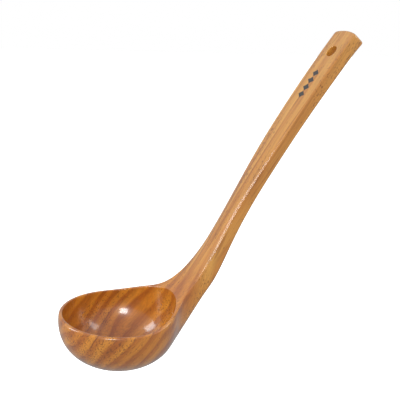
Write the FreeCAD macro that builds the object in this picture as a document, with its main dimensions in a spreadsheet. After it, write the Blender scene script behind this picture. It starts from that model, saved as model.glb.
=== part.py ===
"""A long-handled wooden soup ladle, carved from one block and lacquered.

The bowl is a round cup. Its rim is level at the front and rises in an arc over the shoulder, and a wider
arc carries it up the neck. The handle leaves the neck steeply and bends back on its way up. It is narrowest
just above the neck and widest at its rounded tip, where a hole is drilled square to its flat upper face.

Everything is drawn in the bowl's own axes: Z is the bowl's centre line, X points towards the handle, and
zero is the level front rim. Each body's Placement then brings the middle of the hanging hole to the origin.
"""

import FreeCAD, Part
import math
import os

from FreeCAD import Placement, Rotation, Vector
import Sketcher

# name, millimetres or degrees, what it is
DIMENSIONS = [
    ("bowl_radius", 45.6, "outside radius of the bowl at its widest level"),
    ("brim_radius", 45.0, "outside radius of the bowl's uncut blank at its top"),
    ("bowl_side_radius", 31.0, "radius of the arc of the bowl's outer side"),
    ("belly_drop", 4.0, "depth of the widest level below the front rim"),
    ("bowl_depth", 40.6, "depth of the bowl's underside below the front rim"),
    ("blank_height", 30.0, "height of the bowl's uncut blank above the front rim"),
    ("opening_radius", 42.5, "radius of the opening"),
    ("hollow_side_radius", 30.0, "radius of the arc of the hollow's side"),
    ("hollow_depth", 35.2, "depth of the hollow below the front rim"),
    ("rise_start", 3.3, "distance from the bowl's centre to where the rim begins to rise"),
    ("rise_radius", 69.2, "radius of the rising rim and shoulder, seen from the side"),
    ("throat_angle", 47.4, "slope of the upper face where the rise ends at the throat"),
    ("neck_radius", 138.6, "radius of the neck, seen from the side"),
    ("neck_angle", 63.0, "slope of the upper face at the top of the neck"),
    ("tip_angle", 52.6, "slope of the upper face at the tip"),
    ("handle_length", 191.4, "length of the upper face from the neck to the tip"),
    ("allowance", 3.0, "wood left above the neck's upper face until it is cut"),
    ("root_angle", 15.0, "slope of the rise at the section hidden in the bowl"),
    ("root_width", 64.0, "its width"),
    ("root_thickness", 27.0, "its thickness"),
    ("root_round", 12.0, "radius of its lower edges"),
    ("shoulder_angle", 30.0, "slope of the rise at the shoulder"),
    ("shoulder_width", 48.6, "width of the shoulder"),
    ("shoulder_thickness", 21.2, "thickness of the shoulder"),
    ("shoulder_round", 11.0, "radius of its lower edges"),
    ("throat_width", 29.8, "width of the throat"),
    ("throat_thickness", 15.8, "thickness of the throat"),
    ("throat_round", 6.5, "radius of its lower edges"),
    ("nape_angle", 55.0, "slope of the upper face halfway up the neck"),
    ("nape_width", 24.2, "width there"),
    ("nape_thickness", 13.4, "thickness there"),
    ("nape_round", 4.6, "radius of its lower edges"),
    ("neck_width", 20.5, "width at the top of the neck"),
    ("neck_thickness", 11.6, "thickness at the top of the neck"),
    ("neck_round", 3.2, "radius of the lower edges from the top of the neck to the tip"),
    ("waist_width", 18.5, "smallest width of the handle"),
    ("waist_thickness", 11.1, "thickness of the handle at its waist"),
    ("grip_width", 21.6, "width of the handle where the fingers close round it"),
    ("grip_thickness", 10.6, "thickness there"),
    ("palm_width", 25.4, "width of the handle halfway up"),
    ("palm_thickness", 10.3, "thickness there"),
    ("blade_width", 27.2, "width of the handle where its broad upper part begins"),
    ("blade_thickness", 10.9, "thickness there"),
    ("tip_width", 28.1, "width of the handle at its tip"),
    ("tip_thickness", 10.9, "thickness of the handle at its tip"),
    ("edge_round", 1.5, "radius of the handle's upper edges"),
    ("ridge_round", 1.2, "radius of the edge from the bowl's rim up to the top of the neck"),
    ("rim_round", 0.8, "radius of the opening's edge"),
    ("tip_crown", 34.0, "radius of the bowed end of the handle"),
    ("tip_corner", 5.0, "radius of the corners of that end"),
    ("tip_round", 1.0, "radius of the edges along that end"),
    ("hole_diameter", 9.4, "diameter of the hanging hole"),
    ("hole_inset", 20.1, "distance of the hanging hole from the tip"),
    ("hole_round", 0.5, "radius of the hole's edges"),
]
# the neck's sections, from the one hidden in the bowl, and the handle's, with their shares of its length
NECK_SECTIONS = ["root", "shoulder", "throat", "nape", "neck"]
HANDLE_SECTIONS = {"neck": 0.0, "waist": 0.1, "grip": 0.28, "palm": 0.5, "blade": 0.78, "tip": 1.0}
# how far the cutting outlines run past the wood
OVERRUN = 20.0
BEYOND = 60.0
SIDE_GAP = 0.01
# how near a point has to be to count as on a face
NEAR = 0.01
QUARTER = math.pi / 2
DEGREE = math.pi / 180


def cell(name):
    """How a formula names one driving dimension."""
    return f"Dimensions.{name}"


def make_sheet(doc):
    sheet = doc.addObject("Spreadsheet::Sheet", "Dimensions")
    for row, (name, value, meaning) in enumerate(DIMENSIONS, start=1):
        sheet.set(f"A{row}", name)
        sheet.set(f"B{row}", str(value))
        sheet.set(f"C{row}", meaning)
        sheet.setAlias(f"B{row}", name)
    doc.recompute()
    return sheet


def value(sheet, name):
    """The number in one driving dimension's cell."""
    return float(sheet.evalExpression(cell(name)))


def solved(sheet, formula):
    return float(sheet.evalExpression(formula))


# ---- formulas for the line of the upper face, seen from the side ----

def sine(angle):
    return f"sin(({angle}) * 1deg)"


def cosine(angle):
    return f"cos(({angle}) * 1deg)"


def rise_point(angle):
    """The point of the rim's and shoulder's arc where its slope is the given angle."""
    along = f"{cell('rise_start')} + {cell('rise_radius')} * {sine(angle)}"
    up = f"{cell('rise_radius')} * (1 - {cosine(angle)})"
    return along, up


def bend_on(point, radius, before, after):
    """The point where an arc that goes on from the given point at the slope `before` has the slope `after`."""
    along, up = point
    along += f" + {radius} * ({sine(after)} - {sine(before)})"
    up += f" + {radius} * ({cosine(before)} - {cosine(after)})"
    return along, up


def neck_point(angle):
    """The point of the neck's arc where its slope is the given angle."""
    throat = cell("throat_angle")
    return bend_on(rise_point(throat), cell("neck_radius"), throat, angle)


def handle_slope(share):
    return f"{cell('neck_angle')} - ({cell('neck_angle')} - {cell('tip_angle')}) * ({share})"


def handle_point(share):
    """The point of the handle's upper face, a long arc that bends back, at a share of its length."""
    radius = f"-{cell('handle_length')} * 180 / pi / ({cell('neck_angle')} - {cell('tip_angle')})"
    neck = cell("neck_angle")
    return bend_on(neck_point(neck), f"({radius})", neck, handle_slope(share))


HOLE_SHARE = f"(1 - {cell('hole_inset')} / {cell('handle_length')})"


def hole_centre():
    """The middle of the hanging hole, half the thickness under the upper face."""
    along, up = handle_point(HOLE_SHARE)
    slope = handle_slope(HOLE_SHARE)
    depth = f"{cell('tip_thickness')} / 2"
    return f"{along} + {depth} * {sine(slope)}", f"{up} - {depth} * {cosine(slope)}"


# ---- sketches ----

def make_body(doc, name):
    body = doc.addObject("PartDesign::Body", name)
    body.Label = name
    return body


def origin_plane(body, role):
    return next(plane for plane in body.Origin.OriginFeatures if plane.Role == role)


def new_sketch(body, name, role):
    sketch = body.newObject("Sketcher::SketchObject", name)
    sketch.AttachmentSupport = (origin_plane(body, role), [""])
    sketch.MapMode = "FlatFace"
    return sketch


def tilt_across(sketch, point, slope):
    """Set a sketch on the YZ plane square to the upper face's line: its X is Y, and its Y points outwards."""
    sketch.AttachmentOffset = Placement(Vector(0, 0, 0), Rotation(Vector(1, 0, 0), -1))
    along, up = point
    sketch.setExpression(".AttachmentOffset.Base.z", along)
    sketch.setExpression(".AttachmentOffset.Base.y", up)
    sketch.setExpression(".AttachmentOffset.Rotation.Angle", f"-({slope}) * 1deg")


def tilt_along(sketch, point, slope):
    """Set a sketch on the XY plane flat on the upper face: its X runs along the handle, and its Y is Y."""
    sketch.AttachmentOffset = Placement(Vector(0, 0, 0), Rotation(Vector(0, 1, 0), -1))
    along, up = point
    sketch.setExpression(".AttachmentOffset.Base.x", along)
    sketch.setExpression(".AttachmentOffset.Base.z", up)
    sketch.setExpression(".AttachmentOffset.Rotation.Angle", f"-({slope}) * 1deg")


def constrain(sketch, kind, *terms, bind=None):
    """Add one constraint, and bind it to a formula if it has one."""
    index = sketch.addConstraint(Sketcher.Constraint(kind, *terms))
    if bind:
        sketch.setExpression(f"Constraints[{index}]", bind)
    return index


def section_outline(sketch, width, thickness, top, upper_round, lower_round, sheet):
    """A closed section with four rounded corners, and its flat top at the height `top` over the X axis."""
    wide = solved(sheet, width) / 2
    deep = solved(sheet, thickness)
    rise = solved(sheet, top)
    r1 = solved(sheet, upper_round)
    r2 = solved(sheet, lower_round)
    lines = [
        ((-wide + r1, rise), (wide - r1, rise)),
        ((wide, rise - r1), (wide, r2 - deep)),
        ((wide - r2, -deep), (r2 - wide, -deep)),
        ((-wide, r2 - deep), (-wide, rise - r1)),
    ]
    for start, end in lines:
        sketch.addGeometry(Part.LineSegment(Vector(*start, 0), Vector(*end, 0)), False)
    corners = [
        (wide - r1, rise - r1, r1, 0),
        (wide - r2, r2 - deep, r2, 3),
        (r2 - wide, r2 - deep, r2, 2),
        (r1 - wide, rise - r1, r1, 1),
    ]
    for x, y, radius, turn in corners:
        circle = Part.Circle(Vector(x, y, 0), Vector(0, 0, 1), radius)
        sketch.addGeometry(Part.ArcOfCircle(circle, turn * QUARTER, (turn + 1) * QUARTER), False)
    # each corner's arc runs anticlockwise, so its end meets the line before it and its start the line after
    for index in range(4):
        arc = 4 + index
        constrain(sketch, "Tangent", index, 2, arc, 2)
        constrain(sketch, "Tangent", arc, 1, (index + 1) % 4, 1)
    for index, direction in enumerate(["Vertical", "Horizontal", "Vertical"], start=1):
        constrain(sketch, direction, index)
    constrain(sketch, "Symmetric", 0, 1, 0, 2, -2)
    constrain(sketch, "Equal", 4, 7)
    constrain(sketch, "Equal", 5, 6)
    constrain(sketch, "DistanceX", 3, 1, 1, 1, 2 * wide, bind=width)
    constrain(sketch, "DistanceY", 2, 1, -1, 1, deep, bind=thickness)
    constrain(sketch, "DistanceY", -1, 1, 0, 1, rise, bind=top)
    constrain(sketch, "Radius", 4, r1, bind=upper_round)
    constrain(sketch, "Radius", 5, r2, bind=lower_round)


def half_profile(sketch, radius, side_radius, widest, floor, top_radius, top, sheet):
    """Half of a cup's outline on the XZ plane: the axis, a flat top, the side, and two tangent arcs under it.

    The side arc stands upright at the widest level, and the floor arc is centred on the axis.
    """
    wide, side, level = (solved(sheet, text) for text in (radius, side_radius, widest))
    deep, brim, high = (solved(sheet, text) for text in (floor, top_radius, top))
    inset = wide - side
    drop = deep - level
    big = (inset ** 2 + drop ** 2 - side ** 2) / (2 * (drop - side))
    side_centre = Vector(inset, -level, 0)
    floor_centre = Vector(0, big - deep, 0)
    joint = floor_centre + (side_centre - floor_centre).normalize() * big
    floor_turn = (joint - floor_centre).getAngle(Vector(1, 0, 0))
    upward = Vector(0, 0, 1)
    floor_arc = Part.ArcOfCircle(Part.Circle(floor_centre, upward, big), -QUARTER, -floor_turn)
    side_arc = Part.ArcOfCircle(Part.Circle(side_centre, upward, side), -floor_turn, 0)
    sketch.addGeometry(floor_arc, False)
    sketch.addGeometry(side_arc, False)
    corners = [Vector(wide, -level, 0), Vector(brim, high, 0), Vector(0, high, 0), Vector(0, -deep, 0)]
    for start, end in zip(corners, corners[1:]):
        sketch.addGeometry(Part.LineSegment(start, end), False)
    constrain(sketch, "Tangent", 0, 2, 1, 1)
    for index in range(1, 4):
        constrain(sketch, "Coincident", index, 2, index + 1, 1)
    constrain(sketch, "Coincident", 4, 2, 0, 1)
    constrain(sketch, "PointOnObject", 0, 3, -2)
    constrain(sketch, "PointOnObject", 0, 1, -2)
    constrain(sketch, "PointOnObject", 3, 2, -2)
    constrain(sketch, "Horizontal", 3)
    constrain(sketch, "Horizontal", 1, 3, 1, 2)
    constrain(sketch, "DistanceX", -1, 1, 1, 2, wide, bind=radius)
    constrain(sketch, "DistanceX", -1, 1, 3, 1, brim, bind=top_radius)
    constrain(sketch, "DistanceY", -1, 1, 3, 1, high, bind=top)
    constrain(sketch, "DistanceY", 1, 2, -1, 1, level, bind=widest)
    constrain(sketch, "DistanceY", 0, 1, -1, 1, deep, bind=floor)
    constrain(sketch, "Radius", 1, side, bind=side_radius)


def upper_line(sketch, sheet):
    """What is cut away above the upper face: its level part, two rising arcs and a straight run past them."""
    start = value(sheet, "rise_start")
    radii = value(sheet, "rise_radius"), value(sheet, "neck_radius")
    throat, slope = value(sheet, "throat_angle") * DEGREE, value(sheet, "neck_angle") * DEGREE
    upward = Vector(0, 0, 1)
    centre = Vector(start, radii[0], 0)
    rise = Part.ArcOfCircle(Part.Circle(centre, upward, radii[0]), -QUARTER, throat - QUARTER)
    centre += Vector(-math.sin(throat), math.cos(throat), 0) * (radii[1] - radii[0])
    bend = Part.ArcOfCircle(Part.Circle(centre, upward, radii[1]), throat - QUARTER, slope - QUARTER)
    neck = bend.EndPoint
    far = neck + Vector(math.cos(slope), math.sin(slope), 0) * OVERRUN
    corners = [neck, far, Vector(-BEYOND, far.y, 0), Vector(-BEYOND, 0, 0), Vector(start, 0, 0)]
    sketch.addGeometry(rise, False)
    sketch.addGeometry(bend, False)
    for first, last in zip(corners, corners[1:]):
        sketch.addGeometry(Part.LineSegment(first, last), False)
    constrain(sketch, "Tangent", 0, 2, 1, 1)
    constrain(sketch, "Tangent", 1, 2, 2, 1)
    constrain(sketch, "Tangent", 5, 2, 0, 1)
    for index in (2, 3, 4):
        constrain(sketch, "Coincident", index, 2, index + 1, 1)
    constrain(sketch, "Horizontal", 3)
    constrain(sketch, "Vertical", 4)
    constrain(sketch, "PointOnObject", 0, 1, -1)
    constrain(sketch, "PointOnObject", 5, 1, -1)
    constrain(sketch, "DistanceX", -1, 1, 0, 1, start, bind=cell("rise_start"))
    constrain(sketch, "Radius", 0, radii[0], bind=cell("rise_radius"))
    constrain(sketch, "Radius", 1, radii[1], bind=cell("neck_radius"))
    along, _ = rise_point(cell("throat_angle"))
    constrain(sketch, "DistanceX", -1, 1, 0, 2, solved(sheet, along), bind=along)
    constrain(sketch, "Angle", 2, slope, bind=f"{cell('neck_angle')} * 1deg")
    constrain(sketch, "Distance", 2, OVERRUN)
    constrain(sketch, "DistanceX", 5, 1, -1, 1, BEYOND)


def tip_arcs(sheet):
    """The bowed end's centre and radius, then one corner's, on the upper face with the tip at zero."""
    crown = value(sheet, "tip_crown")
    corner = value(sheet, "tip_corner")
    across = value(sheet, "tip_width") / 2 + SIDE_GAP - corner
    along = math.sqrt((crown - corner) ** 2 - across ** 2) - crown
    return Vector(-crown, 0, 0), crown, Vector(along, across, 0), corner


def tip_outline(sketch, sheet):
    """What is cut away round the tip: everything outside its bowed end and rounded corners.

    The sketch lies on the upper face with its origin at the tip. Its X runs along the handle and its Y across.
    """
    crown_centre, crown, corner_centre, corner = tip_arcs(sheet)
    corner_along, across = corner_centre.x, corner_centre.y
    wide = across + corner
    turn = math.atan2(across, corner_along + crown)
    upward = Vector(0, 0, 1)
    bow = Part.ArcOfCircle(Part.Circle(crown_centre, upward, crown), -turn, turn)
    left = Part.ArcOfCircle(Part.Circle(Vector(corner_along, across, 0), upward, corner), turn, QUARTER)
    right = Part.ArcOfCircle(Part.Circle(Vector(corner_along, -across, 0), upward, corner), -QUARTER, -turn)
    back = corner_along
    corners = [
        Vector(back, wide, 0),
        Vector(back, wide + OVERRUN, 0),
        Vector(OVERRUN, wide + OVERRUN, 0),
        Vector(OVERRUN, -wide - OVERRUN, 0),
        Vector(back, -wide - OVERRUN, 0),
        Vector(back, -wide, 0),
    ]
    for arc in (bow, left, right):
        sketch.addGeometry(arc, False)
    for first, last in zip(corners, corners[1:]):
        sketch.addGeometry(Part.LineSegment(first, last), False)
    constrain(sketch, "Tangent", 0, 2, 1, 1)
    constrain(sketch, "Tangent", 2, 2, 0, 1)
    constrain(sketch, "Coincident", 1, 2, 3, 1)
    for index in range(3, 7):
        constrain(sketch, "Coincident", index, 2, index + 1, 1)
    constrain(sketch, "Coincident", 7, 2, 2, 1)
    for index in (3, 5, 7):
        constrain(sketch, "Vertical", index)
    for index in (4, 6):
        constrain(sketch, "Horizontal", index)
    constrain(sketch, "PointOnObject", 0, 3, -1)
    constrain(sketch, "DistanceX", 0, 3, -1, 1, crown, bind=cell("tip_crown"))
    constrain(sketch, "Radius", 0, crown, bind=cell("tip_crown"))
    constrain(sketch, "Radius", 1, corner, bind=cell("tip_corner"))
    constrain(sketch, "Equal", 1, 2)
    constrain(sketch, "Vertical", 1, 3, 1, 2)
    constrain(sketch, "Symmetric", 1, 2, 2, 1, -1)
    constrain(sketch, "DistanceY", 2, 1, 1, 2, 2 * wide, bind=f"{cell('tip_width')} + 2 * {SIDE_GAP}")
    constrain(sketch, "DistanceX", -1, 1, 4, 2, OVERRUN)
    constrain(sketch, "DistanceY", 3, 1, 3, 2, OVERRUN)
    constrain(sketch, "Equal", 3, 7)


# ---- features ----

def add_feature(body, kind, name, **settings):
    feature = body.newObject(f"PartDesign::{kind}", name)
    for key, setting in settings.items():
        setattr(feature, key, setting)
    body.Document.recompute()
    return feature


def must_shrink(feature, before):
    """A cut that points the wrong way removes nothing and shows no error, so its volume is compared."""
    if not feature.Shape.Volume < before.Shape.Volume - 1:
        raise RuntimeError(f"{feature.Name} removed no wood")


def points_along(edge):
    step = (edge.LastParameter - edge.FirstParameter) / 4
    return [edge.valueAt(edge.FirstParameter + step * index) for index in range(5)]


def add_round(body, base, name, radius, chosen):
    """Round the edges of the body's last feature whose points pass the test."""
    names = [f"Edge{i}" for i, edge in enumerate(base.Shape.Edges, start=1) if chosen(points_along(edge))]
    if not names:
        raise RuntimeError(f"{name} found no edges")
    rounded = body.newObject("PartDesign::Fillet", name)
    rounded.Base = (base, names)
    rounded.setExpression("Radius", radius)
    body.Document.recompute()
    must_shrink(rounded, base)
    return rounded


def neck_sections(body, sheet):
    """From hidden inside the bowl, out over the shoulder and throat, to the top of the neck."""
    sections = []
    for name in NECK_SECTIONS:
        angle = cell(f"{name}_angle")
        point = neck_point(angle) if name in ("nape", "neck") else rise_point(angle)
        sketch = new_sketch(body, f"{name.title()}Section", "YZ_Plane")
        tilt_across(sketch, point, angle)
        width, thickness, lower = (cell(f"{name}_{what}") for what in ("width", "thickness", "round"))
        section_outline(sketch, width, thickness, cell("allowance"), cell("edge_round"), lower, sheet)
        sections.append(sketch)
    body.Document.recompute()
    return sections


def make_bowl(doc, sheet):
    body = make_body(doc, "bowl")
    opening = value(sheet, "opening_radius")

    blank = new_sketch(body, "BlankProfile", "XZ_Plane")
    half_profile(blank, cell("bowl_radius"), cell("bowl_side_radius"), cell("belly_drop"), cell("bowl_depth"),
                 cell("brim_radius"), cell("blank_height"), sheet)
    doc.recompute()
    add_feature(body, "Revolution", "Blank", Profile=blank, ReferenceAxis=(blank, ["V_Axis"]), Angle=360)
    sections = neck_sections(body, sheet)
    roughed = add_feature(body, "AdditiveLoft", "Neck", Profile=sections[0], Sections=sections[1:])

    line = new_sketch(body, "UpperLine", "XZ_Plane")
    upper_line(line, sheet)
    doc.recompute()
    sawn = add_feature(body, "Pocket", "Sawn", Profile=line, Type="ThroughAll", SideType="Symmetric")
    must_shrink(sawn, roughed)

    inside = new_sketch(body, "HollowProfile", "XZ_Plane")
    half_profile(inside, cell("opening_radius"), cell("hollow_side_radius"), "0", cell("hollow_depth"),
                 cell("opening_radius"), cell("blank_height"), sheet)
    doc.recompute()
    axis = (inside, ["V_Axis"])
    hollow = add_feature(body, "Groove", "Hollow", Profile=inside, ReferenceAxis=axis, Angle=360)
    must_shrink(hollow, sawn)

    rise, bend = line.Geometry[0], line.Geometry[1]
    ends = [rise.StartPoint.x, rise.EndPoint.x, bend.EndPoint.x]

    def on_upper_face(point):
        arc = rise if point.x < rise.EndPoint.x else bend
        run = 0 if point.x < rise.StartPoint.x else point.x - arc.Center.x
        return abs(math.hypot(run, point.z - arc.Center.y) - arc.Radius) < NEAR

    def on_opening(point):
        return abs(math.hypot(point.x, point.y) - opening) < NEAR

    def is_lip(points):
        return all(on_upper_face(p) and on_opening(p) for p in points)

    def is_ridge(points):
        crosses = any(all(abs(p.x - end) < NEAR for p in points) for end in ends)
        return all(on_upper_face(p) and not on_opening(p) for p in points) and not crosses

    ridged = add_round(body, hollow, "RoundedRidge", cell("ridge_round"), is_ridge)
    add_round(body, ridged, "RoundedLip", cell("rim_round"), is_lip)
    return body


def make_handle(doc, sheet):
    body = make_body(doc, "handle")
    sections = []
    for name, share in HANDLE_SECTIONS.items():
        sketch = new_sketch(body, f"{name.title()}Section", "YZ_Plane")
        tilt_across(sketch, handle_point(share), handle_slope(share))
        width, thickness = cell(f"{name}_width"), cell(f"{name}_thickness")
        section_outline(sketch, width, thickness, "0", cell("edge_round"), cell("neck_round"), sheet)
        sections.append(sketch)
    doc.recompute()
    long = add_feature(body, "AdditiveLoft", "Long", Profile=sections[0], Sections=sections[1:])

    outline = new_sketch(body, "TipOutline", "XY_Plane")
    tilt_along(outline, handle_point(1), handle_slope(1))
    tip_outline(outline, sheet)
    doc.recompute()
    ended = add_feature(body, "Pocket", "Tip", Profile=outline, Type="ThroughAll", SideType="Symmetric")
    must_shrink(ended, long)

    circle = new_sketch(body, "HoleCircle", "XY_Plane")
    tilt_along(circle, handle_point(HOLE_SHARE), handle_slope(HOLE_SHARE))
    diameter = value(sheet, "hole_diameter")
    circle.addGeometry(Part.Circle(Vector(0, 0, 0), Vector(0, 0, 1), diameter / 2), False)
    constrain(circle, "Coincident", 0, 3, -1, 1)
    constrain(circle, "Diameter", 0, diameter, bind=cell("hole_diameter"))
    doc.recompute()
    drilled = add_feature(body, "Pocket", "Hole", Profile=circle, Type="ThroughAll", SideType="Symmetric")
    must_shrink(drilled, ended)

    to_hole, to_tip = circle.Placement.inverse(), outline.Placement.inverse()
    crown_centre, crown, corner_centre, corner = tip_arcs(sheet)

    def is_hole_rim(points):
        flat = [to_hole.multVec(point) for point in points]
        round_hole = all(abs(math.hypot(p.x, p.y) - diameter / 2) < NEAR for p in flat)
        return round_hole and abs(flat[0].z - flat[-1].z) < diameter / 2

    def on_end_wall(point):
        flat = Vector(point.x, abs(point.y), 0)
        on_bow = abs((flat - crown_centre).Length - crown) < NEAR
        return on_bow or abs((flat - corner_centre).Length - corner) < NEAR

    def is_end_edge(points):
        flat = [to_tip.multVec(point) for point in points]
        return all(on_end_wall(p) for p in flat) and abs(flat[0].y - flat[-1].y) > NEAR

    ended_round = add_round(body, drilled, "RoundedEnd", cell("tip_round"), is_end_edge)
    add_round(body, ended_round, "RoundedHole", cell("hole_round"), is_hole_rim)
    return body


# ---- the whole ladle ----

def bring_hole_to_origin(body):
    along, up = hole_centre()
    body.setExpression(".Placement.Base.x", f"-({along})")
    body.setExpression(".Placement.Base.z", f"-({up})")


def check(doc, bodies):
    for thing in doc.Objects:
        if "Invalid" in thing.State or "Error" in thing.State:
            raise RuntimeError(f"{thing.Name} is {thing.State}")
    for body in bodies:
        if body.Shape.isNull() or not body.Shape.isValid():
            raise RuntimeError(f"{body.Label} has no valid shape")


def main():
    doc = FreeCAD.newDocument("Ladle")
    sheet = make_sheet(doc)
    bodies = [make_bowl(doc, sheet), make_handle(doc, sheet)]
    for body in bodies:
        bring_hole_to_origin(body)
    doc.recompute()
    check(doc, bodies)
    os.makedirs("parts", exist_ok=True)
    for body in bodies:
        body.Shape.exportStep(f"parts/{body.Label}.step")
        print(body.Label, round(body.Shape.Volume), body.Shape.BoundBox)


main()
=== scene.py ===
"""A carved and lacquered wooden soup ladle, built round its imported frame.

Sizes are in millimetres, and MM turns them into metres where Blender takes them. The wood is modelled in the
bowl's own axes, with the middle of the level front rim at zero, X towards the handle and Z up, and is then
moved to its place in the frame.
"""
import math

import bmesh
import bpy
from mathutils import Matrix, Vector


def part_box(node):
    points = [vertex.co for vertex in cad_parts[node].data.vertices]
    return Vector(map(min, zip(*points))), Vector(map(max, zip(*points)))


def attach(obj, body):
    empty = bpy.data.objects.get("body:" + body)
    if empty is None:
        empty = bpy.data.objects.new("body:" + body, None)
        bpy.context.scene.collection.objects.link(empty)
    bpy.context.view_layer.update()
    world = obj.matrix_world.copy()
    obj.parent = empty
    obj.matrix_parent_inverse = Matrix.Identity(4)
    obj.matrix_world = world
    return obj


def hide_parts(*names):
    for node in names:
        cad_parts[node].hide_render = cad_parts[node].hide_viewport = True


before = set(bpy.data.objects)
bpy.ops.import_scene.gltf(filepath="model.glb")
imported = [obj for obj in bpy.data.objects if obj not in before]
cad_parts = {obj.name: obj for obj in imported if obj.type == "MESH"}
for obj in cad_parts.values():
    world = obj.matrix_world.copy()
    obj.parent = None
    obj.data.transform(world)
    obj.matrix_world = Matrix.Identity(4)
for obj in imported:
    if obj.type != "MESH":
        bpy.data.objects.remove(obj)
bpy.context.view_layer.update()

MM = 0.001
NEAR = 0.05 * MM
bpy.ops.object.select_all(action="DESELECT")

# ---- the bowl's place in the frame ----
BOWL_RADIUS = 45.6 * MM
BOWL_DEPTH = 40.6 * MM
bowl_low, bowl_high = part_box("bowl")
CUP = Vector((bowl_low[0] + BOWL_RADIUS, 0.0, bowl_low[2] + BOWL_DEPTH))

# ---- the line of the upper face, seen from the side ----
RISE_START = 3.3
RISE_RADIUS = 69.2
THROAT_ANGLE = 47.4
NECK_RADIUS = 138.6
NECK_ANGLE = 63.0
TIP_ANGLE = 52.6
HANDLE_LENGTH = 191.4


def rise(x):
    """Height of the rim and shoulder over the front rim, out from the bowl's centre."""
    run = max(x - RISE_START, 0.0)
    return RISE_RADIUS - math.sqrt(RISE_RADIUS ** 2 - run ** 2)


def bend_on(x, z, before, after, radius):
    """Where an arc that goes on from a point at one slope has turned to another."""
    along_x = x + radius * (math.sin(after) - math.sin(before))
    up_z = z + radius * (math.cos(before) - math.cos(after))
    return along_x, up_z


def upper_face(distance):
    """Place and slope of the upper face at a distance past the top of the neck, negative before it."""
    throat, top, tip = (math.radians(angle) for angle in (THROAT_ANGLE, NECK_ANGLE, TIP_ANGLE))
    x, z = bend_on(RISE_START, 0.0, 0.0, throat, RISE_RADIUS)
    if distance < 0:
        slope = top + distance / NECK_RADIUS
        return *bend_on(x, z, throat, slope, NECK_RADIUS), slope
    x, z = bend_on(x, z, throat, top, NECK_RADIUS)
    slope = top - (top - tip) * distance / HANDLE_LENGTH
    return *bend_on(x, z, top, slope, -HANDLE_LENGTH / (top - tip)), slope


def ahead_and_up(slope):
    """The directions along the upper face and square to it, where it has a slope."""
    return Vector((math.cos(slope), 0.0, math.sin(slope))), Vector((-math.sin(slope), 0.0, math.cos(slope)))


# ---- picking and moving, in edit mode ----

def edit_mesh():
    return bmesh.from_edit_mesh(bpy.context.object.data)


def pick(kind, test):
    """Select the vertices, edges or faces that pass a test, and nothing else."""
    bpy.ops.mesh.select_mode(type={"verts": "VERT", "edges": "EDGE", "faces": "FACE"}[kind])
    bpy.ops.mesh.select_all(action="DESELECT")
    mesh = edit_mesh()
    for item in getattr(mesh, kind):
        item.select_set(test(item))
    mesh.select_flush_mode()
    bmesh.update_edit_mesh(bpy.context.object.data)


def move(x, y, z):
    bpy.ops.transform.translate(value=(x, y, z))


def stretch(x, y, z):
    bpy.ops.transform.resize(value=(x, y, z))


def bevel_edges(test, offset):
    """Round the edges that pass a test."""
    pick("edges", test)
    bpy.ops.mesh.bevel(offset=offset * MM, segments=2, affect="EDGES")


def along(points):
    """A test for the edges that join one point of a path to the next."""
    def test(edge):
        ends = [vertex.co for vertex in edge.verts]
        for first, last in zip(points, points[1:]):
            for a, b in (ends, ends[::-1]):
                if (a - first).length < NEAR and (b - last).length < NEAR:
                    return True
        return False
    return test


# ---- the bowl ----
SEGMENTS = 24
LIP_RADIUS = 42.9
# radius, height and share of the rim's rise of each ring, from the rim down
INNER_RINGS = [
    (43.3, -8.0, 0.55),
    (41.3, -16.5, 0.2),
    (36.4, -24.5, 0.05),
    (28.6, -31.0, 0.0),
    (18.4, -34.7, 0.0),
    (8.0, -35.6, 0.0),
]
OUTER_RINGS = [
    (45.7, 0.0, 1.0),
    (46.3, -6.0, 0.5),
    (45.3, -14.5, 0.2),
    (41.4, -23.8, 0.0),
    (33.9, -31.6, 0.0),
    (23.7, -37.3, 0.0),
    (12.0, -40.2, 0.0),
]
RIM_RADIUS = OUTER_RINGS[0][0]


def ring_down(rings):
    """Extrude the selected ring from one radius and height to the next, and close the bottom with a grid."""
    radius, height = LIP_RADIUS, 0.0
    for next_radius, next_height, _ in rings:
        bpy.ops.mesh.extrude_edges_move()
        scale = next_radius / radius
        stretch(scale, scale, 1.0)
        move(0, 0, (next_height - height) * MM)
        radius, height = next_radius, next_height
    bpy.ops.mesh.fill_grid(span=SEGMENTS // 4)


def on_ring(radius, height):
    """A test for the vertices of one ring that is still level."""
    def test(vertex):
        flat = math.hypot(vertex.co.x, vertex.co.y)
        return abs(flat - radius * MM) < NEAR and abs(vertex.co.z - height * MM) < NEAR
    return test


def raise_ring(radius, height, share):
    """Lift the handle's side of one ring, a pair of vertices at a time, along the rise of the rim."""
    near = on_ring(radius, height)
    for step in range(SEGMENTS // 4 + 1):
        x = radius * math.cos(2 * math.pi * step / SEGMENTS)
        lift = rise(x) * share
        if lift > 0:
            pick("verts", lambda v: near(v) and abs(v.co.x - x * MM) < NEAR)
            move(0, 0, lift * MM)


def make_cup():
    """One ring at the lip, drawn down inside for the hollow and down outside for the wall."""
    bpy.ops.mesh.primitive_circle_add(vertices=SEGMENTS, radius=LIP_RADIUS * MM, location=CUP,
                                      enter_editmode=True)
    cup = bpy.context.object
    pick("verts", lambda v: True)
    ring_down(INNER_RINGS)
    pick("verts", on_ring(LIP_RADIUS, 0.0))
    ring_down(OUTER_RINGS)
    for ring in OUTER_RINGS + INNER_RINGS:
        raise_ring(*ring)
    raise_ring(LIP_RADIUS, 0.0, 1.0)
    return cup


def rim_points(radius, steps):
    """The points of one ring of the rim after its rise, for a range of steps round the bowl."""
    points = []
    for step in steps:
        turn = 2 * math.pi * step / SEGMENTS
        x = radius * math.cos(turn)
        points.append(Vector((x, radius * math.sin(turn), rise(x))) * MM)
    return points


# ---- the neck and handle ----
ROWS = 4
COLUMNS = 5
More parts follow.
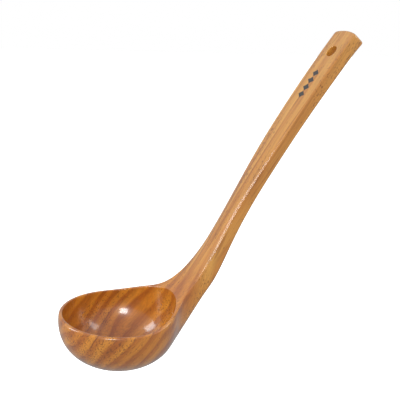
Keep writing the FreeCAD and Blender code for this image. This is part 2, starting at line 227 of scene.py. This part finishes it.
# the wall that the neck grows out of: segments each side of the middle, and its limits on the bowl
ROOT = 2
ROOT_DEPTH = -24.0
ROOT_OUTWARD = 0.3
HOLLOW_RADIUS = 40.0
HOLLOW_RADIUS_LOW = 38.0
HOLLOW_LOW = -14.0
# upper edge, lower edge, upper half width and lower half width of each section of the shoulder
SHOULDER = [
    ((46.5, 15.1), (54.5, -4.0), 17.6, 13.5),
    ((54.24, 22.4), (65.0, 12.0), 14.9, 12.6),
]
HOLE_DISTANCE = 171.3
HOLE_REACH = 6.8
# distance past the top of the neck, half width, thickness and crown of each section
SHAFT = [
    (-28.0, 13.2, 14.6, 0.9),
    (-14.0, 11.6, 12.9, 1.1),
    (0.0, 10.3, 11.5, 1.2),
    (19.0, 9.25, 11.1, 1.2),
    (42.0, 9.8, 10.6, 1.2),
    (64.0, 11.4, 10.4, 0.9),
    (87.0, 12.5, 10.3, 0.5),
    (112.0, 13.1, 10.4, 0.25),
    (140.0, 13.5, 10.8, 0.25),
    (154.0, 13.7, 10.9, 0.25),
    (HOLE_DISTANCE - HOLE_REACH, 13.8, 10.9, 0.2),
    (HOLE_DISTANCE, 13.9, 10.9, 0.2),
    (HOLE_DISTANCE + HOLE_REACH, 14.0, 10.9, 0.2),
    (187.2, 14.1, 10.9, 0.2),
    (189.8, 13.8, 10.9, 0.2),
]
# the lower face's width as a share of the upper face's
LOWER_SHARE = 0.96
# where the inner columns of a section stand, as a share of its half width: near the sides at the tip
INNER_SHARE = 0.5
TIP_INNER_SHARE = 0.8
# the crown is lifted in two steps: share of its height, and reach as a share of the half width
CROWN_STEPS = [(0.75, 0.95), (0.25, 0.3)]
# share of the half width, and how far past the last section, of each column of the rounded end
TIP_BOW = [(-1.0, -0.7), (-TIP_INNER_SHARE, 0.6), (0.0, 2.3), (TIP_INNER_SHARE, 0.6), (1.0, -0.7)]
# how far across a column of the end is looked for, as a share of the half width
TIP_COLUMN_REACH = 0.09
# how far back from the last section the end's own edges reach
TIP_BACK = 1.3


def cap_rows(down):
    """The selected end of the shaft as rows of vertices, from the upper face down."""
    mesh = edit_mesh()
    chosen = sorted((v for v in mesh.verts if v.select), key=lambda v: v.co.dot(down))
    return [[v.index for v in chosen[row * COLUMNS:(row + 1) * COLUMNS]] for row in range(ROWS)]


def place_row(row, x, z, half_width):
    """Straighten one row of the section across, and bring it to its place and width."""
    mesh = edit_mesh()
    mesh.verts.ensure_lookup_table()
    spots = [mesh.verts[index].co.copy() for index in row]
    present = max(abs(spot.y) for spot in spots)
    middle = sum(spots, Vector()) / len(spots)
    pick("verts", lambda v: v.index in row)
    stretch(0.0, half_width * MM / present, 0.0)
    move(x * MM - middle.x, 0, z * MM - middle.z)


def space_columns(row, half_width, share):
    """Bring the two inner columns of one row to a share of its half width."""
    mesh = edit_mesh()
    mesh.verts.ensure_lookup_table()
    inner = [index for index in row if NEAR < abs(mesh.verts[index].co.y) < 0.9 * half_width * MM]
    reach = abs(mesh.verts[inner[0]].co.y)
    pick("verts", lambda v: v.index in inner)
    stretch(1.0, half_width * share * MM / reach, 1.0)


def shape_section(upper, lower, upper_half, lower_half, crown=0.0, inner_share=INNER_SHARE):
    """Bring the selected end of the shaft to a planar section, crown its top, and leave it selected."""
    down = Vector((lower[0] - upper[0], 0.0, lower[1] - upper[1]))
    rows = cap_rows(down)
    for step, row in enumerate(rows):
        share = step / (ROWS - 1)
        x = upper[0] + (lower[0] - upper[0]) * share
        z = upper[1] + (lower[1] - upper[1]) * share
        half = upper_half + (lower_half - upper_half) * share ** 2
        place_row(row, x, z, half)
        space_columns(row, half, inner_share)
    if crown:
        lift = -down.normalized() * crown * MM
        for share, reach in CROWN_STEPS:
            pick("verts", lambda v: v.index in rows[0] and abs(v.co.y) < reach * upper_half * MM)
            move(*(lift * share))
    pick("verts", lambda v: any(v.index in row for row in rows))


def shaft_ends(distance, thickness):
    """The upper and lower edge of a section square to the upper face."""
    x, z, slope = upper_face(distance)
    return (x, z), (x + thickness * math.sin(slope), z - thickness * math.cos(slope))


def root_wall(face):
    """Whether a face is part of the bowl's outer wall that the neck grows out of."""
    spot = face.calc_center_median()
    flat = math.hypot(spot.x, spot.y)
    outside = flat > HOLLOW_RADIUS * MM or spot.z < HOLLOW_LOW * MM and flat > HOLLOW_RADIUS_LOW * MM
    outward = face.normal.dot(Vector((spot.x, spot.y, 0)).normalized())
    reach = math.radians(360 / SEGMENTS * ROOT + 1)
    ahead = spot.x > 0 and abs(math.atan2(spot.y, spot.x)) < reach
    return ahead and outside and spot.z > ROOT_DEPTH * MM and outward > ROOT_OUTWARD


def pull_shaft():
    """Draw the neck and handle out of the bowl's wall, a section at a time."""
    pick("faces", root_wall)
    for section in SHOULDER:
        bpy.ops.mesh.extrude_region_move()
        shape_section(*section)
    for distance, half, thickness, crown in SHAFT:
        upper, lower = shaft_ends(distance, thickness)
        at_tip = distance > HOLE_DISTANCE + HOLE_REACH
        inner_share = TIP_INNER_SHARE if at_tip else INNER_SHARE
        bpy.ops.mesh.extrude_region_move()
        shape_section(upper, lower, half, half * LOWER_SHARE, crown, inner_share)


def bow_tip():
    """Push the columns of the shaft's end out along the handle, and return the end's upper and lower edge."""
    distance, half, thickness, _ = SHAFT[-1]
    x, z, slope = upper_face(distance)
    ahead, up = ahead_and_up(slope)
    base = Vector((x, 0.0, z)) * MM
    for share, bow in TIP_BOW:
        def in_column(vertex):
            off = abs(vertex.co.y - share * half * MM)
            return abs((vertex.co - base).dot(ahead)) < NEAR and off < TIP_COLUMN_REACH * half * MM
        pick("verts", in_column)
        move(*(ahead * bow * MM))
    ends = [v.co.copy() for v in edit_mesh().verts if (v.co - base).dot(ahead) > -TIP_BACK * MM]
    ends.sort(key=lambda spot: spot.y)
    top = [spot for spot in ends if (spot - base).dot(up) > -1.0 * MM]
    bottom = [spot for spot in ends if (spot - base).dot(up) < (0.5 - thickness) * MM]
    return top, bottom


# ---- the hanging hole ----
HOLE_INSET = 2.2
HOLE_CONTROL = 5.2
HOLE_BEVEL = 0.6
# how far a vertex may be from the hole's rim, and from the face that the hole opens in
HOLE_SLACK = 0.4
FACE_SLACK = 1.0


def drill_hole():
    """Open both faces round the hole's middle, round the openings, and join them with a wall."""
    x, z, slope = upper_face(HOLE_DISTANCE)
    thickness = SHAFT[-1][2]
    _, up = ahead_and_up(slope)
    middle = Vector((x, 0.0, z)) * MM

    def depth(spot):
        return -(spot - middle).dot(up)

    def radius(spot):
        return ((spot - middle) - up * (spot - middle).dot(up)).length

    def hole_rim(edge):
        first, last = (v.co for v in edge.verts)
        round_it = all(abs(radius(spot) - HOLE_CONTROL * MM) < HOLE_SLACK * MM for spot in (first, last))
        return round_it and abs(depth(first) - depth(last)) < FACE_SLACK * MM

    for level in (0.0, thickness * MM):
        def on_level(vertex):
            return abs(depth(vertex.co) - level) < FACE_SLACK * MM
        pick("faces", lambda f: any(radius(v.co) < FACE_SLACK * MM and on_level(v) for v in f.verts))
        bpy.ops.mesh.inset(thickness=HOLE_INSET * MM)
        bpy.ops.mesh.delete(type="FACE")
        pick("verts", lambda v: v.is_boundary and on_level(v))
        bpy.ops.transform.tosphere(value=1.0)
        reach = [radius(v.co) for v in edit_mesh().verts if v.select]
        scale = HOLE_CONTROL * MM * len(reach) / sum(reach)
        stretch(scale, scale, scale)
    pick("edges", lambda e: e.is_boundary)
    bpy.ops.mesh.bridge_edge_loops()
    bevel_edges(hole_rim, HOLE_BEVEL)


# ---- the edges that stay crisp, and the smoothing ----
RIDGE_BEVEL = 1.2
LIP_BEVEL = 0.7
SMOOTH_LEVELS = 3


def ridge_path(tip):
    """The wood's sharp edge: down one side of the handle, round the rim, up the other side, round the tip."""
    side = [(upper, half) for upper, _, half, _ in SHOULDER]
    side += [(upper_face(distance)[:2], half) for distance, half, _, _ in SHAFT[:-1]]
    up_side = [Vector((x, half, z)) * MM for (x, z), half in side]
    down_side = [Vector((spot.x, -spot.y, spot.z)) for spot in up_side]
    rim = rim_points(RIM_RADIUS, range(ROOT, SEGMENTS - ROOT + 1))
    return up_side[::-1] + rim + down_side + tip + up_side[-1:]


def sharpen(tip_top, tip_bottom):
    """Bevel the edges that stay crisp when the wood is smoothed."""
    bevel_edges(along(rim_points(LIP_RADIUS, range(SEGMENTS + 1))), LIP_BEVEL)
    bevel_edges(along(ridge_path(tip_top)), RIDGE_BEVEL)
    bevel_edges(along(tip_bottom), RIDGE_BEVEL)


def soften(obj):
    """Smooth the wood between its crisp edges."""
    modifier = obj.modifiers.new("Subdivision", "SUBSURF")
    modifier.levels = SMOOTH_LEVELS
    modifier.render_levels = SMOOTH_LEVELS
    bpy.context.view_layer.objects.active = obj
    bpy.ops.object.modifier_apply(modifier=modifier.name)
    bpy.ops.object.shade_smooth()


def carve_ladle():
    """The whole ladle as one closed surface, at its place in the frame."""
    carving = make_cup()
    pull_shaft()
    tip_top, tip_bottom = bow_tip()
    drill_hole()
    sharpen(tip_top, tip_bottom)
    bpy.ops.mesh.select_all(action="SELECT")
    bpy.ops.mesh.normals_make_consistent(inside=False)
    bpy.ops.object.mode_set(mode="OBJECT")
    bpy.ops.object.transform_apply(location=True)
    soften(carving)
    return carving


# ---- the cut at the top of the neck, where the bowl's piece and the handle's piece meet ----
seam_x, seam_z, seam_slope = upper_face(0.0)
SEAM = CUP + Vector((seam_x, 0.0, seam_z)) * MM
SEAM_NORMAL, _ = ahead_and_up(seam_slope)
ON_SEAM = 0.001 * MM


def cut_at_seam(obj, keep_handle):
    """Keep the wood on one side of the seam, close it with a flat face, and keep that face's edge sharp."""
    bpy.ops.object.select_all(action="DESELECT")
    obj.select_set(True)
    bpy.context.view_layer.objects.active = obj
    bpy.ops.object.mode_set(mode="EDIT")
    bpy.ops.mesh.select_all(action="SELECT")
    bpy.ops.mesh.bisect(plane_co=SEAM, plane_no=SEAM_NORMAL, use_fill=True,
                        clear_inner=keep_handle, clear_outer=not keep_handle)
    pick("edges", lambda e: all(abs((v.co - SEAM).dot(SEAM_NORMAL)) < ON_SEAM for v in e.verts))
    bpy.ops.mesh.mark_sharp()
    bpy.ops.object.mode_set(mode="OBJECT")


# ---- the wood ----
THROAT = CUP + Vector((54.0, 0.0, 16.0)) * MM
GRAIN_SLOPE = math.radians(58.0)
GRAIN = Vector((math.cos(GRAIN_SLOPE), 0.0, math.sin(GRAIN_SLOPE)))
# which way the growth sheets face in the handle and in the bowl
HANDLE_SHEETS = (-0.55 * GRAIN.z, 0.83, 0.55 * GRAIN.x)
BOWL_SHEETS = (-0.70, 0.42, 0.58)
# the handle's pattern takes over from the bowl's between these heights along the grain
SHEETS_CHANGE = (-12 * MM, 30 * MM)
RINGS_PER_METRE = 112.0

# how fine each pattern is, twice across the grain and then along it
WAVES = (26, 26, 5)
RIPPLES = (160, 160, 22)
PATCHES = (45, 45, 4)
STREAKS = (300, 300, 8)
BREAKS = (70, 70, 14)
FIBRES = (800, 800, 18)
PORES = (1100, 1100, 420)
PORE_CROWDS = (55, 55, 9)

# lighter and darker wood, each as the two colours of its broad patches
BOWL_LIGHT = (0.52, 0.165, 0.011, 1), (0.68, 0.27, 0.026, 1)
BOWL_DARK = (0.34, 0.085, 0.007, 1), (0.44, 0.135, 0.012, 1)
HANDLE_LIGHT = (0.62, 0.27, 0.044, 1), (0.72, 0.36, 0.07, 1)
HANDLE_DARK = (0.52, 0.19, 0.026, 1), (0.60, 0.26, 0.042, 1)
STREAK_BROWN = (0.30, 0.085, 0.009, 1)
LINE_BROWN = (0.10, 0.025, 0.005, 1)
PORE_BROWN = (0.16, 0.045, 0.006, 1)
PRINT_BLACK = (0.012, 0.008, 0.006, 1)
# how light the wood is through one growth ring
RING_LIGHTNESS = [(0.0, 0.5), (0.14, 1.0), (0.45, 0.8), (0.66, 0.2), (0.93, 0.05), (1.0, 0.5)]

# the printed row of lozenges, centred below the hanging hole, whose middle is the frame's origin
HOLE_SLOPE = upper_face(HOLE_DISTANCE)[2]
MARK_DISTANCE = 31.0 * MM
MARK_PLACE = -ahead_and_up(HOLE_SLOPE)[0] * MARK_DISTANCE
MARK_STEP = 6.6 * MM
MARK_COUNT = 4
MARK_LENGTH = 0.92 * MARK_STEP
MARK_WIDTH = 8.0 * MM


class Tree:
    """Adds nodes to a material's tree and joins them up, left to right."""

    def __init__(self, material):
        material.use_nodes = True
        self.nodes = material.node_tree.nodes
        self.links = material.node_tree.links
        self.shader = self.nodes["Principled BSDF"]

    def feed(self, socket, given):
        """Give a socket another node's output, or a plain value."""
        if isinstance(given, bpy.types.NodeSocket):
            self.links.new(given, socket)
        else:
            socket.default_value = given

    def add(self, kind, inputs=None, **settings):
        node = self.nodes.new(kind)
        for key, setting in settings.items():
            setattr(node, key, setting)
        for key, given in (inputs or {}).items():
            self.feed(node.inputs[key], given)
        return node

    def math(self, operation, *terms):
        return self.add("ShaderNodeMath", dict(enumerate(terms)), operation=operation).outputs[0]

    def noise(self, vector, detail=2.0, roughness=0.5):
        values = {"Vector": vector, "Scale": 1.0, "Detail": detail, "Roughness": roughness}
        return self.add("ShaderNodeTexNoise", values).outputs["Fac"]

    def spread(self, value, low, high, start=0.0, end=1.0, smooth=True):
        """A value's way from low to high, as a number from start to end."""
        values = {"Value": value, "From Min": low, "From Max": high, "To Min": start, "To Max": end}
        kind = "SMOOTHSTEP" if smooth else "LINEAR"
        return self.add("ShaderNodeMapRange", values, interpolation_type=kind).outputs["Result"]

    def mix(self, share, first, second, blend="MIX"):
        """A mix of two colours."""
        values = {0: share, 6: first, 7: second}
        return self.add("ShaderNodeMix", values, data_type="RGBA", blend_type=blend).outputs[2]

    def mix_places(self, share, first, second):
        """A point between two others."""
        return self.add("ShaderNodeMix", {0: share, 4: first, 5: second}, data_type="VECTOR").outputs[1]

    def ramp(self, value, stops):
        """The grey for a value, from stops of place and lightness."""
        node = self.add("ShaderNodeValToRGB", {"Fac": value})
        elements = node.color_ramp.elements
        while len(elements) < len(stops):
            elements.new(0.5)
        for element, (place, grey) in zip(elements, stops):
            element.position = place
            element.color = (grey, grey, grey, 1)
        return node.outputs["Color"]

    def turned(self, place, middle, turn):
        """A point as measured from a middle, along turned axes."""
        values = {"Vector": place, "Location": middle, "Rotation": turn}
        return self.add("ShaderNodeMapping", values, vector_type="TEXTURE").outputs["Vector"]

    def split(self, vector):
        return self.add("ShaderNodeSeparateXYZ", {"Vector": vector}).outputs


def board_turn(sheet_normal):
    """The turn that lays a pattern's X across the growth sheets and its Z along the grain."""
    across = Vector(sheet_normal).normalized()
    grain = (GRAIN - across * GRAIN.dot(across)).normalized()
    return Matrix((across, grain.cross(across), grain)).transposed().to_euler()


def board_place(tree, place):
    """Where a point is in the board, and how far its pattern is the handle's and not the bowl's."""
    on_handle = tree.turned(place, THROAT, board_turn(HANDLE_SHEETS))
    on_bowl = tree.turned(place, THROAT, board_turn(BOWL_SHEETS))
    handle_share = tree.spread(tree.split(on_handle)["Z"], *SHEETS_CHANGE)
    return tree.mix_places(handle_share, on_bowl, on_handle), handle_share


def printed_row(tree, place):
    """One where the row of plain lozenges is printed, on the upper face only, and nought elsewhere."""
    spot = tree.split(tree.turned(place, MARK_PLACE, (0.0, -HOLE_SLOPE, 0.0)))
    in_step = tree.math("PINGPONG", tree.math("ADD", spot["X"], MARK_STEP), MARK_STEP / 2)
    off_middle = tree.math("SUBTRACT", MARK_STEP / 2, in_step)
    length_share = tree.math("DIVIDE", off_middle, MARK_LENGTH / 2)
    width_share = tree.math("DIVIDE", tree.math("ABSOLUTE", spot["Y"]), MARK_WIDTH / 2)
    lozenge = tree.math("LESS_THAN", tree.math("ADD", length_share, width_share), 1.0)
    in_row = tree.math("LESS_THAN", tree.math("ABSOLUTE", spot["X"]), MARK_STEP * MARK_COUNT / 2)
    on_top = tree.math("GREATER_THAN", spot["Z"], 0.0)
    return tree.math("MULTIPLY", tree.math("MULTIPLY", lozenge, in_row), on_top)


def make_wood():
    """Brown wood whose rings, streaks and pores run from the bowl into the handle, under clear lacquer."""
    material = bpy.data.materials.new("lacquered_wood")
    tree = Tree(material)
    place = tree.add("ShaderNodeTexCoord").outputs["Object"]
    in_board, handle_share = board_place(tree, place)

    def pattern(fineness, detail=2.0, roughness=0.5):
        scaled = tree.add("ShaderNodeMapping", {"Vector": in_board, "Scale": fineness})
        return tree.noise(scaled.outputs["Vector"], detail, roughness)

    # growth rings: how far across the sheets, pushed about by slow waves
    across = tree.split(in_board)["X"]
    rings = tree.math("ADD", tree.math("MULTIPLY", across, RINGS_PER_METRE),
                      tree.math("MULTIPLY", pattern(WAVES), 3.0))
    rings = tree.math("ADD", rings, tree.math("MULTIPLY", pattern(RIPPLES), 0.35))
    ring = tree.math("FRACT", rings)
    lightness = tree.ramp(ring, RING_LIGHTNESS)
    patches = tree.spread(pattern(PATCHES, 3.0), 0.32, 0.68)
    light = tree.mix(handle_share, tree.mix(patches, *BOWL_LIGHT), tree.mix(patches, *HANDLE_LIGHT))
    dark = tree.mix(handle_share, tree.mix(patches, *BOWL_DARK), tree.mix(patches, *HANDLE_DARK))
    colour = tree.mix(lightness, dark, light)

    # narrow darker streaks along the grain, mostly up the handle
    streaks = tree.spread(pattern(STREAKS), 0.52, 0.70)
    streaks = tree.math("MULTIPLY", streaks, tree.spread(handle_share, 0.0, 1.0, 0.25, 0.6))
    colour = tree.mix(streaks, colour, STREAK_BROWN)

    # a dark line at the end of each ring, broken along its length
    line = tree.math("MULTIPLY", tree.spread(ring, 0.9, 0.96), tree.spread(ring, 1.0, 0.97))
    line = tree.math("MULTIPLY", line, tree.spread(pattern(BREAKS, 1.0), 0.54, 0.66))
    colour = tree.mix(tree.math("MULTIPLY", line, 0.75), colour, LINE_BROWN)

    # fibres
    fibres = pattern(FIBRES, 3.0, 0.6)
    shade = tree.spread(fibres, 0.3, 0.7, 0.84, 1.12, smooth=False)
    grey = tree.add("ShaderNodeCombineColor", {"Red": shade, "Green": shade, "Blue": shade}).outputs[0]
    colour = tree.mix(1.0, colour, grey, "MULTIPLY")

    # pores, closer together in some places than in others
    crowd = tree.spread(pattern(PORE_CROWDS, 1.0), 0.35, 0.65)
    pore_start = tree.math("SUBTRACT", 0.70, tree.math("MULTIPLY", crowd, 0.15))
    pores = tree.math("MULTIPLY", tree.math("SUBTRACT", pattern(PORES, 1.0), pore_start), 14.0)
    pores = tree.add("ShaderNodeClamp", {"Value": pores}).outputs[0]
    colour = tree.mix(tree.math("MULTIPLY", pores, 0.7), colour, PORE_BROWN)

    colour = tree.mix(printed_row(tree, place), colour, PRINT_BLACK)
    bump = tree.add("ShaderNodeBump", {"Height": fibres, "Strength": 0.06, "Distance": 0.2 * MM})
    finish = {
        "Base Color": colour,
        "Normal": bump.outputs["Normal"],
        "Roughness": 0.34,
        "Coat Weight": 1.0,
        "Coat Roughness": 0.12,
    }
    for name, given in finish.items():
        tree.feed(tree.shader.inputs[name], given)
    return material


# ---- the two pieces ----
ladle = carve_ladle()
handle = ladle.copy()
handle.data = ladle.data.copy()
bpy.context.collection.objects.link(handle)
ladle.name = "ladle_bowl"
handle.name = "ladle_handle"
cut_at_seam(ladle, keep_handle=False)
cut_at_seam(handle, keep_handle=True)

wood = make_wood()
for piece, node in ((ladle, "bowl"), (handle, "handle")):
    piece.data.materials.clear()
    piece.data.materials.append(wood)
    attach(piece, "root")
    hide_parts(node)

# ---- camera, light and floor, in metres and degrees ----
CAMERA_PLACE = CUP + Vector((-0.187345, -0.52431, 0.246885))
CAMERA_TURN = (74.365, -3.631, -24.357)
CAMERA_LENS = 71.4
CAMERA_SENSOR = 36
# name, azimuth, elevation, distance, width and height, power
SOFTBOXES = [
    ("window", -122, 20, 0.9, (0.26, 0.26), 3.4),
    ("back_window", 157, 22, 1.0, (0.24, 0.8), 4.5),
    ("side_window", -25, 40, 1.0, (0.3, 0.6), 2.0),
]
LOW_GLOW = 0.4
HIGH_GLOW = 0.66
FLOOR_SIZE = 12
FLOOR_HEIGHT = -0.6


def place_camera():
    turn = [math.radians(angle) for angle in CAMERA_TURN]
    bpy.ops.object.camera_add(location=CAMERA_PLACE, rotation=turn)
    camera = bpy.context.object
    camera.data.lens = CAMERA_LENS
    camera.data.sensor_width = CAMERA_SENSOR
    bpy.context.scene.camera = camera


def way_out(azimuth, elevation):
    """A direction out from the bowl, by its turn from X and its height, in degrees."""
    turn, height = math.radians(azimuth), math.radians(elevation)
    flat = math.cos(height)
    return Vector((flat * math.cos(turn), flat * math.sin(turn), math.sin(height)))


def hang_softbox(name, azimuth, elevation, distance, size, power):
    """A rectangle of light that faces the bowl."""
    outward = way_out(azimuth, elevation)
    bpy.ops.object.light_add(type="AREA", location=CUP + outward * distance)
    lamp = bpy.context.object
    lamp.name = name
    lamp.data.shape = "RECTANGLE"
    lamp.data.size, lamp.data.size_y = size
    lamp.data.energy = power
    lamp.rotation_euler = (-outward).to_track_quat("-Z", "Y").to_euler()


def make_studio():
    """White behind the ladle, and round it a soft light that is stronger above than below."""
    world = bpy.data.worlds.new("studio")
    bpy.context.scene.world = world
    world.use_nodes = True
    nodes, links = world.node_tree.nodes, world.node_tree.links
    outward = nodes.new("ShaderNodeTexCoord")
    up = nodes.new("ShaderNodeSeparateXYZ")
    glow = nodes.new("ShaderNodeMapRange")
    limits = {"From Min": -0.5, "From Max": 0.8, "To Min": LOW_GLOW, "To Max": HIGH_GLOW}
    for name, number in limits.items():
        glow.inputs[name].default_value = number
    path = nodes.new("ShaderNodeLightPath")
    choice = nodes.new("ShaderNodeMix")
    choice.inputs["B"].default_value = 1.0
    links.new(outward.outputs["Generated"], up.inputs["Vector"])
    links.new(up.outputs["Z"], glow.inputs["Value"])
    links.new(path.outputs["Is Camera Ray"], choice.inputs["Factor"])
    links.new(glow.outputs["Result"], choice.inputs["A"])
    links.new(choice.outputs["Result"], nodes["Background"].inputs["Strength"])
    nodes["Background"].inputs["Color"].default_value = (1, 1, 1, 1)
    bpy.context.scene.view_settings.view_transform = "Standard"


def lay_floor():
    """A plain white floor that the lacquer doesn't mirror."""
    bpy.ops.mesh.primitive_plane_add(size=FLOOR_SIZE, location=(0, 0, FLOOR_HEIGHT))
    floor = bpy.context.object
    floor.name = "floor"
    floor.visible_diffuse = False
    floor.visible_glossy = False
    white = bpy.data.materials.new("white")
    white.use_nodes = True
    shader = white.node_tree.nodes["Principled BSDF"]
    shader.inputs["Base Color"].default_value = (0.95, 0.95, 0.95, 1)
    shader.inputs["Emission Color"].default_value = (1, 1, 1, 1)
    shader.inputs["Emission Strength"].default_value = 0.9
    floor.data.materials.append(white)


place_camera()
for box in SOFTBOXES:
    hang_softbox(*box)
make_studio()
lay_floor()
